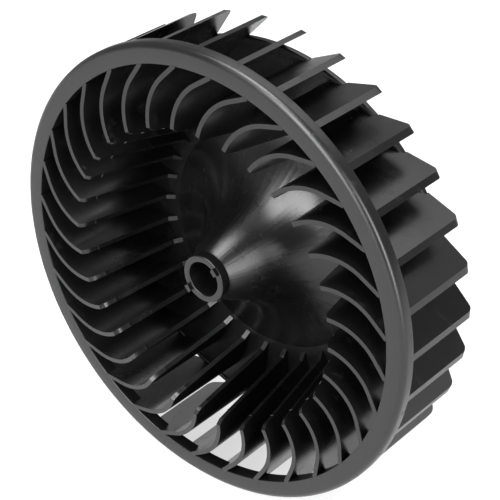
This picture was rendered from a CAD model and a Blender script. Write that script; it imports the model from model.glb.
"""Looks of the moulded centrifugal blower wheel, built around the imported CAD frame."""
import math

import bmesh
import bpy
from mathutils import Matrix, Vector


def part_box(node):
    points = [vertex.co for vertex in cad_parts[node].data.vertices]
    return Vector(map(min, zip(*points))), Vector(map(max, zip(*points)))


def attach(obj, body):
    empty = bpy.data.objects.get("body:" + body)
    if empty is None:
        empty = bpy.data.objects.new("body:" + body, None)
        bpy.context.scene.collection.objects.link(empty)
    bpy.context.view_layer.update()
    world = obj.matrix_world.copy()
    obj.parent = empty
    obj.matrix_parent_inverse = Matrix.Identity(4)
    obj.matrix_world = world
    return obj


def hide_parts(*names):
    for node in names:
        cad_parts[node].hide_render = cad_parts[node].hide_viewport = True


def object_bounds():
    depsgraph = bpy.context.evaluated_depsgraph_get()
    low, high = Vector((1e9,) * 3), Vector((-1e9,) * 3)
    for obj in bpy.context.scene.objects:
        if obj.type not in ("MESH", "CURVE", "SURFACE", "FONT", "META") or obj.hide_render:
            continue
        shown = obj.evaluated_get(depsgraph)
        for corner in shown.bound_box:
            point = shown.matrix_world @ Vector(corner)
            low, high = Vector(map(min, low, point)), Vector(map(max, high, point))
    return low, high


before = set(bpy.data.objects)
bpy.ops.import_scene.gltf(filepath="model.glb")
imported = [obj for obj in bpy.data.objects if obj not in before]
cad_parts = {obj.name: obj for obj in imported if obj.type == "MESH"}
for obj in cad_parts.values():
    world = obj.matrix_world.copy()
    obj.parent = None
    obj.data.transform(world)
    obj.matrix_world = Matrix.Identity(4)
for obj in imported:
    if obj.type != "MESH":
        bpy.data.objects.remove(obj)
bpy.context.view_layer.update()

MM = 0.001
TAU = 2 * math.pi

# ---------------------------------------------------------------- driving sizes
# Read from the frame. Depths run back from the face of the inlet ring, along +Y.
ring_lo, ring_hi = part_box("inlet_ring")
rim_lo, rim_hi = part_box("plate_rim")
sleeve_lo, sleeve_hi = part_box("hub_sleeve")
cone_lo, cone_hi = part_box("hub_cone")
whole_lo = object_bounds()[0]

FACE_Y = ring_lo[1]
WHEEL_R = ring_hi[0]
RING_DEPTH = ring_hi[1] - ring_lo[1]
TIP_RISE = FACE_Y - whole_lo[1]
RIM_R = rim_hi[0]
RIM_BACK = rim_hi[1] - FACE_Y
PLATE_FRONT = rim_lo[1] - FACE_Y
HUB_R = sleeve_hi[0]
HUB_FACE = sleeve_lo[1] - FACE_Y
SLEEVE_BACK = sleeve_hi[1] - FACE_Y
COLLAR_BACK = cone_lo[1] - FACE_Y
CONE_FOOT_R = cone_hi[0]

# The moulding's own details, as in the CAD source
RING_BAND = 8.4 * MM
RING_EDGE_R = 2.6 * MM
BLADE_COUNT = 32
BLADE_PHASE = math.radians(6.6)
BLADE_T_FRONT = 1.9 * MM
BLADE_T_BACK = 2.1 * MM
BLADE_REACH = WHEEL_R - 0.6 * MM
FLANK_ANGLE = math.radians(50.3)
FLANK_LEN = 9.8 * MM
HEEL_R = 24.2 * MM
HEEL_TURN = math.radians(61)
TIP_R = 65.4 * MM
FOOT_R = 53 * MM
FOOT_FLARE = 3 * MM
RIM_BAND = 2.5 * MM
RIM_STEP = 0.6 * MM
BORE_R = 7.5 * MM
FLARE_R = 19 * MM
FLARE_LEN = 14.6 * MM
CONE_WALL = 2.2 * MM
LUG_PHASE = math.radians(42)
LUG_SWEEP = math.radians(20)
LUG_HEIGHT = 1.9 * MM
LUG_WALL = 1.9 * MM
LUG_EDGE = 0.35 * MM
BLADE_EDGE = 0.28 * MM
BLADE_CORNER = 2.6 * MM
HEEL_START = 0.9 * MM

RING_IN_R = WHEEL_R - RING_BAND
BLADE_BACK = RIM_BACK - RIM_STEP
CONE_TOP_R = HUB_R + 0.3 * MM
CONE_HEIGHT = PLATE_FRONT - COLLAR_BACK


def at(radius, angle, depth):
    """Point at a radius and angle about the axis, a depth behind the ring's face."""
    return Vector((radius * math.cos(angle), FACE_Y + depth, radius * math.sin(angle)))


# ---------------------------------------------------------------- mesh helpers
def finish_mesh(name, verts, faces, material, nodes, smooth_angle=32):
    """Makes one closed piece, shades it and gives it to the frame."""
    mesh = bpy.data.meshes.new(name)
    mesh.from_pydata([tuple(v) for v in verts], [], faces)
    mesh.validate()
    obj = bpy.data.objects.new(name, mesh)
    bpy.context.collection.objects.link(obj)
    recalculate_normals(mesh)
    mesh.shade_smooth()
    mesh.set_sharp_from_angle(angle=math.radians(smooth_angle))
    mesh.materials.append(material)
    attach(obj, "root")
    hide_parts(*nodes)
    return obj


def recalculate_normals(mesh):
    """Turns every face outwards."""
    work = bmesh.new()
    work.from_mesh(mesh)
    bmesh.ops.recalc_face_normals(work, faces=work.faces)
    work.to_mesh(mesh)
    work.free()


def rounded(corners, steps=5):
    """Closed outline from (radius, depth, fillet) corners, each fillet an arc."""
    outline = []
    count = len(corners)
    for i, (r, d, fillet) in enumerate(corners):
        here = Vector((r, d))
        if fillet <= 0:
            outline.append(here)
            continue
        before = (Vector(corners[i - 1][:2]) - here).normalized()
        after = (Vector(corners[(i + 1) % count][:2]) - here).normalized()
        half = before.angle(after) / 2
        reach = fillet / math.tan(half)
        centre = here + (before + after).normalized() * fillet / math.sin(half)
        start = here + before * reach - centre
        end = here + after * reach - centre
        turn = start.angle_signed(end)
        for k in range(steps + 1):
            outline.append(centre + Matrix.Rotation(-turn * k / steps, 2) @ start)
    return outline


def lathe(outline, segments):
    """Vertices and faces of a closed outline of (radius, depth) turned about the axis."""
    verts = [at(r, TAU * s / segments, d) for s in range(segments) for r, d in outline]
    n = len(outline)
    faces = []
    for s in range(segments):
        here, there = s * n, (s + 1) % segments * n
        for k in range(n):
            j = (k + 1) % n
            faces.append((here + k, here + j, there + j, there + k))
    return verts, faces


def grid_solid(front, back):
    """Closes two equal grids of points, front[i][j] and back[i][j], into one solid."""
    rows, cols = len(front), len(front[0])
    verts = [p for row in front for p in row] + [p for row in back for p in row]
    shift = rows * cols
    faces = []
    for i in range(rows - 1):
        for j in range(cols - 1):
            a, b = i * cols + j, (i + 1) * cols + j
            faces.append((a, b, b + 1, a + 1))
            faces.append((shift + a, shift + a + 1, shift + b + 1, shift + b))
    edge = [(i, 0) for i in range(rows)] + [(rows - 1, j) for j in range(1, cols)]
    edge += [(i, cols - 1) for i in range(rows - 2, -1, -1)] + [(0, j) for j in range(cols - 2, 0, -1)]
    ring = [i * cols + j for i, j in edge]
    for k, a in enumerate(ring):
        b = ring[(k + 1) % len(ring)]
        faces.append((a, shift + a, shift + b, b))
    return verts, faces


def bevel(obj, width, segments=2, angle=40):
    """Breaks the edges that are sharper than the angle, in degrees."""
    mod = obj.modifiers.new("edge", "BEVEL")
    mod.width = width
    mod.segments = segments
    mod.limit_method = "ANGLE"
    mod.angle_limit = math.radians(angle)
    mod.use_clamp_overlap = True
    mod.harden_normals = True


# ---------------------------------------------------------------- materials
def flow_lines(tree, place):
    """Streaks that run out from the axis, as the plastic flowed in the mould."""
    def math_node(operation, *sources):
        node = tree.nodes.new("ShaderNodeMath")
        node.operation = operation
        for socket, source in zip(node.inputs, sources):
            if isinstance(source, (int, float)):
                socket.default_value = source
            else:
                tree.links.new(source, socket)
        return node.outputs["Value"]

    split = tree.nodes.new("ShaderNodeSeparateXYZ")
    tree.links.new(place.outputs["Object"], split.inputs["Vector"])
    angle = math_node("ARCTAN2", split.outputs["Z"], split.outputs["X"])
    join = tree.nodes.new("ShaderNodeCombineXYZ")
    tree.links.new(math_node("MULTIPLY", math_node("SINE", angle), 9.0), join.inputs["X"])
    tree.links.new(math_node("MULTIPLY", math_node("COSINE", angle), 9.0), join.inputs["Y"])
    tree.links.new(math_node("MULTIPLY", split.outputs["Y"], 25.0), join.inputs["Z"])
    noise = tree.nodes.new("ShaderNodeTexNoise")
    noise.inputs["Scale"].default_value = 2.2
    noise.inputs["Detail"].default_value = 4
    tree.links.new(join.outputs["Vector"], noise.inputs["Vector"])
    return noise.outputs["Fac"]


def moulded_black(name, base, rough, grain, grain_depth, wear, streaks=0.0):
    """Black moulded plastic: fine spark-eroded grain, uneven gloss and light rubs."""
    mat = bpy.data.materials.new(name)
    mat.use_nodes = True
    tree = mat.node_tree
    shader = tree.nodes["Principled BSDF"]
    shader.inputs["IOR"].default_value = 1.5
    shader.inputs["Specular IOR Level"].default_value = 0.5
    place = tree.nodes.new("ShaderNodeTexCoord")

    def noise(scale, detail, roughness):
        node = tree.nodes.new("ShaderNodeTexNoise")
        node.inputs["Scale"].default_value = scale
        node.inputs["Detail"].default_value = detail
        node.inputs["Roughness"].default_value = roughness
        tree.links.new(place.outputs["Object"], node.inputs["Vector"])
        return node

    def ramp(source, low, high, low_value, high_value):
        node = tree.nodes.new("ShaderNodeMapRange")
        node.inputs["From Min"].default_value = low
        node.inputs["From Max"].default_value = high
        node.inputs["To Min"].default_value = low_value
        node.inputs["To Max"].default_value = high_value
        tree.links.new(source, node.inputs["Value"])
        return node

    # flow clouds in the gloss, and rubbed streaks that are a little lighter
    cloud = noise(28, 3, 0.55)
    gloss = ramp(cloud.outputs["Fac"], 0.35, 0.65, rough - 0.05, rough + 0.06)
    rub = noise(160, 6, 0.7)
    rubbed = ramp(rub.outputs["Fac"], 0.58, 0.74, 0.0, wear)
    total = tree.nodes.new("ShaderNodeMath")
    total.operation = "ADD"
    tree.links.new(gloss.outputs["Result"], total.inputs[0])
    tree.links.new(rubbed.outputs["Result"], total.inputs[1])
    tree.links.new(total.outputs["Value"], shader.inputs["Roughness"])

    tint = tree.nodes.new("ShaderNodeMix")
    tint.data_type = "RGBA"
    tint.inputs["A"].default_value = (*base, 1)
    tint.inputs["B"].default_value = (*[c * 1.7 + 0.012 for c in base], 1)
    tree.links.new(rubbed.outputs["Result"], tint.inputs["Factor"])
    tree.links.new(tint.outputs["Result"], shader.inputs["Base Color"])

    fine = noise(grain, 2, 0.5)
    bump = tree.nodes.new("ShaderNodeBump")
    bump.inputs["Strength"].default_value = 0.35
    bump.inputs["Distance"].default_value = grain_depth
    tree.links.new(fine.outputs["Fac"], bump.inputs["Height"])
    if streaks:
        lines = tree.nodes.new("ShaderNodeBump")
        lines.inputs["Strength"].default_value = 0.5
        lines.inputs["Distance"].default_value = streaks
        tree.links.new(flow_lines(tree, place), lines.inputs["Height"])
        tree.links.new(lines.outputs["Normal"], bump.inputs["Normal"])
    tree.links.new(bump.outputs["Normal"], shader.inputs["Normal"])
    return mat


RING_PLASTIC = moulded_black("ring_plastic", (0.004, 0.004, 0.0044), 0.33, 2600, 0.00003, 0.5)
BLADE_PLASTIC = moulded_black("blade_plastic", (0.0022, 0.0022, 0.0025), 0.30, 3000, 0.00002, 0.3)
PLATE_PLASTIC = moulded_black("plate_plastic", (0.0020, 0.0020, 0.0022), 0.28, 2600, 0.00003, 0.15)
HUB_PLASTIC = moulded_black(
    "hub_plastic", (0.0022, 0.0022, 0.0025), 0.26, 3000, 0.00002, 0.15, streaks=0.0002)


# ---------------------------------------------------------------- lathed pieces
def inlet_ring():
    outline = rounded([
        (RING_IN_R, 0, 0.35 * MM), (WHEEL_R, 0, RING_EDGE_R),
        (WHEEL_R, RING_DEPTH, 0.4 * MM), (RING_IN_R, RING_DEPTH, 0.4 * MM)], 8)
    verts, faces = lathe(outline, 288)
    finish_mesh("inlet_ring_looks", verts, faces, RING_PLASTIC, ["inlet_ring"])


def back_plate():
    overlap = 0.3 * MM
    outline = rounded([
        (CONE_FOOT_R - overlap, PLATE_FRONT, 0), (RIM_R - RIM_BAND + overlap, PLATE_FRONT, 0),
        (RIM_R - RIM_BAND + overlap, BLADE_BACK, 0), (CONE_FOOT_R - overlap, BLADE_BACK, 0)])
    verts, faces = lathe(outline, 192)
    finish_mesh("back_plate_looks", verts, faces, PLATE_PLASTIC, ["back_plate"])


def plate_rim():
    """The rim is a bead proud of the plate on both faces, stepped in at its back edge."""
    bead = 0.6 * MM
    inner = RIM_R - RIM_BAND
    front = PLATE_FRONT - bead
    outline = rounded([
        (inner, front, 0.4 * MM), (RIM_R, front, 0.8 * MM),
        (RIM_R, RIM_BACK - RIM_STEP, 0.15 * MM), (RIM_R - RIM_STEP, RIM_BACK - RIM_STEP, 0.1 * MM),
        (RIM_R - RIM_STEP, RIM_BACK, 0.25 * MM), (inner, RIM_BACK, 0.4 * MM)], 5)
    verts, faces = lathe(outline, 288)
    finish_mesh("plate_rim_looks", verts, faces, RING_PLASTIC, ["plate_rim"])


FLARE_END = math.exp(-(CONE_FOOT_R - FLARE_R) / FLARE_LEN)
CONE_STEEP = CONE_HEIGHT / (FLARE_LEN * (1 - FLARE_END) + FLARE_R - CONE_TOP_R)


def cone_depth(r):
    """Depth of the cone's outer face: straight, then an exponential flare."""
    if r < FLARE_R:
        return COLLAR_BACK + CONE_STEEP * (r - CONE_TOP_R)
    return PLATE_FRONT - CONE_STEEP * FLARE_LEN * (math.exp(-(r - FLARE_R) / FLARE_LEN) - FLARE_END)


def cone_normal(r):
    step = 0.05 * MM
    slope = (cone_depth(r + step) - cone_depth(r - step)) / (2 * step)
    return Vector((slope, -1)).normalized()


def hub_cone():
    steps = 64
    radii = [CONE_TOP_R + (CONE_FOOT_R - CONE_TOP_R) * (k / steps) ** 1.4 for k in range(steps + 1)]
    outer = [Vector((r, cone_depth(r))) for r in radii]
    under = []
    for r in reversed(radii):
        p = Vector((r, cone_depth(r))) - cone_normal(r) * CONE_WALL
        if p.x > HUB_R and p.y < BLADE_BACK:
            under.append(p)
    inside = HUB_R - 0.5 * MM
    start = COLLAR_BACK - 0.6 * MM
    shoulder = [Vector((inside, COLLAR_BACK + 2 * CONE_WALL)), Vector((inside, start)),
                Vector((HUB_R + 0.02 * MM, start))]
    outline = outer + [Vector((CONE_FOOT_R, BLADE_BACK))] + under + shoulder
    verts, faces = lathe(outline, 256)
    finish_mesh("hub_cone_looks", verts, faces, HUB_PLASTIC, ["hub_cone"])


def hub_sleeve():
    outline = rounded([
        (BORE_R, HUB_FACE, 0.45 * MM), (HUB_R, HUB_FACE, 0.5 * MM),
        (HUB_R, SLEEVE_BACK, 0.4 * MM), (BORE_R, SLEEVE_BACK, 0.4 * MM)], 5)
    verts, faces = lathe(outline, 128)
    finish_mesh("hub_sleeve_looks", verts, faces, HUB_PLASTIC, ["hub_sleeve"])


# ---------------------------------------------------------------- lugs
def hub_lug(i):
    cols, rows = 12, 6
    sink = 0.4 * MM
    mid = LUG_PHASE + math.pi * i
    radii = [HUB_R - 0.05 * MM - LUG_WALL * k / rows for k in range(rows + 1)]
    angles = [mid + LUG_SWEEP * (k / cols - 0.5) for k in range(cols + 1)]
    top = [[at(r, a, HUB_FACE - LUG_HEIGHT) for a in angles] for r in radii]
    base = [[at(r, a, HUB_FACE + sink) for a in angles] for r in radii]
    verts, faces = grid_solid(top, base)
    name = "hub_lug_%d" % (i + 1)
    obj = finish_mesh(name + "_looks", verts, faces, HUB_PLASTIC, [name])
    bevel(obj, LUG_EDGE, 3)


# ---------------------------------------------------------------- blades
def blade_path():
    """Centre line of a blade from its outer end inwards, as (point, direction) in its own frame."""
    d0 = math.pi - FLANK_ANGLE
    along = Vector((math.cos(d0), math.sin(d0)))
    gate = Vector((RING_IN_R + HEEL_START, 0))
    # outer end: where the flank reaches the blade's outer radius
    b = gate.dot(along)
    back_len = b + math.sqrt(b * b - gate.dot(gate) + BLADE_REACH ** 2)
    start = gate - along * back_len
    heel_start = gate + along * FLANK_LEN
    centre = heel_start + HEEL_R * Vector((-math.sin(d0), math.cos(d0)))
    d1 = d0 + HEEL_TURN
    heel_end = centre + HEEL_R * Vector((math.sin(d1), -math.cos(d1)))
    flank = (heel_start - start).length
    heel = HEEL_R * HEEL_TURN
    tail = Vector((math.cos(d1), math.sin(d1)))

    def point(s):
        if s <= flank:
            return start + along * s, along
        if s <= flank + heel:
            d = d0 + (s - flank) / HEEL_R
            return (centre + HEEL_R * Vector((math.sin(d), -math.cos(d))),
                    Vector((math.cos(d), math.sin(d))))
        return heel_end + tail * (s - flank - heel), tail

    return point


PATH = blade_path()


HALVINGS = 40


def path_at_radius(r):
    """Length along the path at which it reaches radius r."""
    low, high = 0.0, 80 * MM
    for _ in range(HALVINGS):
        mid = (low + high) / 2
        if PATH(mid)[0].length > r:
            low = mid
        else:
            high = mid
    return (low + high) / 2


TIP_CHAMFER = 2.0 * MM
LEDGE = 0.35 * MM
LEDGE_DEPTH = 5 * MM


def front_knots():
    """(radius, depth) corners of the front boundary: foot gusset, leaning edge, ledge, tip, ring."""
    foot = Vector((FOOT_R + FOOT_FLARE, PLATE_FRONT - FOOT_FLARE))
    under_tip = Vector((TIP_R - 0.25 * TIP_CHAMFER, -TIP_RISE + TIP_CHAMFER))
    ledge = under_tip.lerp(foot, (LEDGE_DEPTH - under_tip.y) / (foot.y - under_tip.y))
    return [
        (FOOT_R, PLATE_FRONT), tuple(foot),
        (ledge.x - LEDGE, ledge.y + 4 * LEDGE), (ledge.x - 0.9 * LEDGE, ledge.y + 0.1 * LEDGE),
        tuple(ledge), tuple(under_tip), (TIP_R + 0.6 * TIP_CHAMFER, -TIP_RISE), (RING_IN_R, 0)]


FRONT_KNOTS = front_knots()


def blade_front(r):
    """Depth of the blade's front boundary at radius r."""
    for (r0, d0), (r1, d1) in zip(FRONT_KNOTS, FRONT_KNOTS[1:]):
        if r <= r1:
            return d0 + (d1 - d0) * (r - r0) / (r1 - r0)
    return 0.0


def end_shift(half):
    """How much further out the side at this offset runs to end on the wheel's cylinder."""
    low, high = -4 * MM, 4 * MM
    for _ in range(HALVINGS):
        mid = (low + high) / 2
        centre, along = PATH(mid)
        if (centre + Vector((-along.y, along.x)) * half).length > BLADE_REACH:
            low = mid
        else:
            high = mid
    return (low + high) / 2


def blade_columns():
    """(path length, front depth, back depth) for each column, outer end first."""
    inside = 0.35 * MM  # how far a blade runs into the ring, the plate and the rim
    hair = 0.02 * MM  # the width of a step in the outline
    columns = []
    behind_ring = RING_DEPTH - inside
    for k in range(9):
        a = math.pi / 2 * k / 8
        columns.append((BLADE_CORNER * (1 - math.cos(a)), behind_ring,
                        BLADE_BACK - BLADE_CORNER * (1 - math.sin(a))))
    s_rim = path_at_radius(RIM_R - inside)
    s_ring = path_at_radius(RING_IN_R + inside)
    s_foot = path_at_radius(FOOT_R + 0.15 * MM)
    plate = PLATE_FRONT + inside
    for k in range(1, 4):
        columns.append((BLADE_CORNER + (s_ring - BLADE_CORNER) * k / 4, behind_ring, BLADE_BACK))
    columns.append((s_ring, behind_ring, BLADE_BACK))
    columns.append((s_ring + hair, 0.0, BLADE_BACK))
    columns.append((s_rim, blade_front(RIM_R), BLADE_BACK))
    columns.append((s_rim + hair, blade_front(RIM_R), plate))
    marks = [s_rim + (s_foot - s_rim) * k / 44 for k in range(1, 45)]
    marks += [path_at_radius(r) for r, _ in FRONT_KNOTS[1:-1]]
    for s in sorted(marks):
        columns.append((s, blade_front(PATH(s)[0].length), plate))
    return columns


COLUMNS = blade_columns()
ROWS = 10
SKEW_LEN = 6 * MM
SHIFT = {sign: end_shift(sign * BLADE_T_BACK / 2) for sign in (1, -1)}


def blade(i):
    turn = BLADE_PHASE + TAU * i / BLADE_COUNT
    sides = []
    for sign in (1, -1):
        grid = []
        for s, front, back in COLUMNS:
            skew = SHIFT[sign] * max(0.0, 1 - s / SKEW_LEN)
            centre, along = PATH(s + skew)
            side = Vector((-along.y, along.x)) * sign
            line = []
            for k in range(ROWS + 1):
                depth = front + (back - front) * k / ROWS
                half = (BLADE_T_FRONT + (BLADE_T_BACK - BLADE_T_FRONT) * depth / RIM_BACK) / 2
                p = centre + side * half
                line.append(at(p.length, math.atan2(p.y, p.x) + turn, depth))
            grid.append(line)
        sides.append(grid)
    verts, faces = grid_solid(*sides)
    name = "blade_%02d" % (i + 1)
    obj = finish_mesh(name + "_looks", verts, faces, BLADE_PLASTIC, [name])
    bevel(obj, BLADE_EDGE, 2, 50)


# ---------------------------------------------------------------- stage
def camera():
    """Level camera with a long lens, above and to the right of the inlet."""
    azimuth, elevation = math.radians(39.84), math.radians(31.2)
    lens = 111.94  # mm, on a sensor 36 mm wide
    wheel_radii_away = Vector((3.5425, -3.9311, 3.3497))  # from the centre of the ring's face
    data = bpy.data.cameras.new("camera")
    data.sensor_width = 36
    data.lens = lens
    cam = bpy.data.objects.new("camera", data)
    bpy.context.collection.objects.link(cam)
    place = wheel_radii_away * WHEEL_R + Vector((0, FACE_Y, 0))
    back = Vector((math.sin(azimuth) * math.cos(elevation),
                   -math.cos(azimuth) * math.cos(elevation), math.sin(elevation)))
    cam.matrix_world = Matrix.Translation(place) @ back.to_track_quat("Z", "Y").to_matrix().to_4x4()
    bpy.context.scene.camera = cam


def floor():
    """Pale floor just under the wheel, for the pictures only."""
    size = 6.0
    mesh = bpy.data.meshes.new("floor")
    z = whole_lo[2] - 0.0002
    corners = [(-size, -size, z), (size, -size, z), (size, size, z), (-size, size, z)]
    mesh.from_pydata(corners, [], [(0, 1, 2, 3)])
    obj = bpy.data.objects.new("floor", mesh)
    bpy.context.collection.objects.link(obj)
    mat = bpy.data.materials.new("pale_floor")
    mat.use_nodes = True
    shader = mat.node_tree.nodes["Principled BSDF"]
    shader.inputs["Base Color"].default_value = (0.4, 0.4, 0.4, 1)
    shader.inputs["Roughness"].default_value = 0.8
    shader.inputs["Specular IOR Level"].default_value = 0.2
    shader.inputs["Emission Color"].default_value = (1, 1, 1, 1)
    shader.inputs["Emission Strength"].default_value = 0.65
    mesh.materials.append(mat)


def softbox(name, place, target, size, power):
    """Rectangular lamp at a place, aimed at a target."""
    data = bpy.data.lights.new(name, "AREA")
    data.shape = "RECTANGLE"
    data.size, data.size_y = size
    data.energy = power
    obj = bpy.data.objects.new(name, data)
    bpy.context.collection.objects.link(obj)
    aim = Vector(place) - Vector(target)
    obj.matrix_world = Matrix.Translation(place) @ aim.to_track_quat("Z", "Y").to_matrix().to_4x4()


def studio():
    """White surroundings and four lamps; right and top put the bright patches on the cone."""
    world = bpy.data.worlds.new("studio")
    world.use_nodes = True
    sky = world.node_tree.nodes["Background"]
    sky.inputs["Color"].default_value = (1, 1, 1, 1)
    sky.inputs["Strength"].default_value = 0.3
    bpy.context.scene.world = world
    softbox("overhead", (-0.1, 0.7, 1.1), (0, 0, 0), (1.2, 0.8), 6)
    softbox("front", (0.08, -1.05, 0.6), (0, 0, 0), (0.56, 1.15), 26)
    softbox("right", (0.94, -0.28, 0.34), (0, 0, 0), (0.35, 0.8), 10)
    softbox("top", (-0.14, -0.24, 0.95), (0, 0, 0), (0.45, 0.4), 10)
    scene = bpy.context.scene
    scene.view_settings.view_transform = "Standard"
    scene.view_settings.look = "None"


# ---------------------------------------------------------------- assembly
camera()
floor()
studio()
inlet_ring()
back_plate()
plate_rim()
hub_cone()
hub_sleeve()
for lug in range(2):
    hub_lug(lug)
for number in range(BLADE_COUNT):
    blade(number)
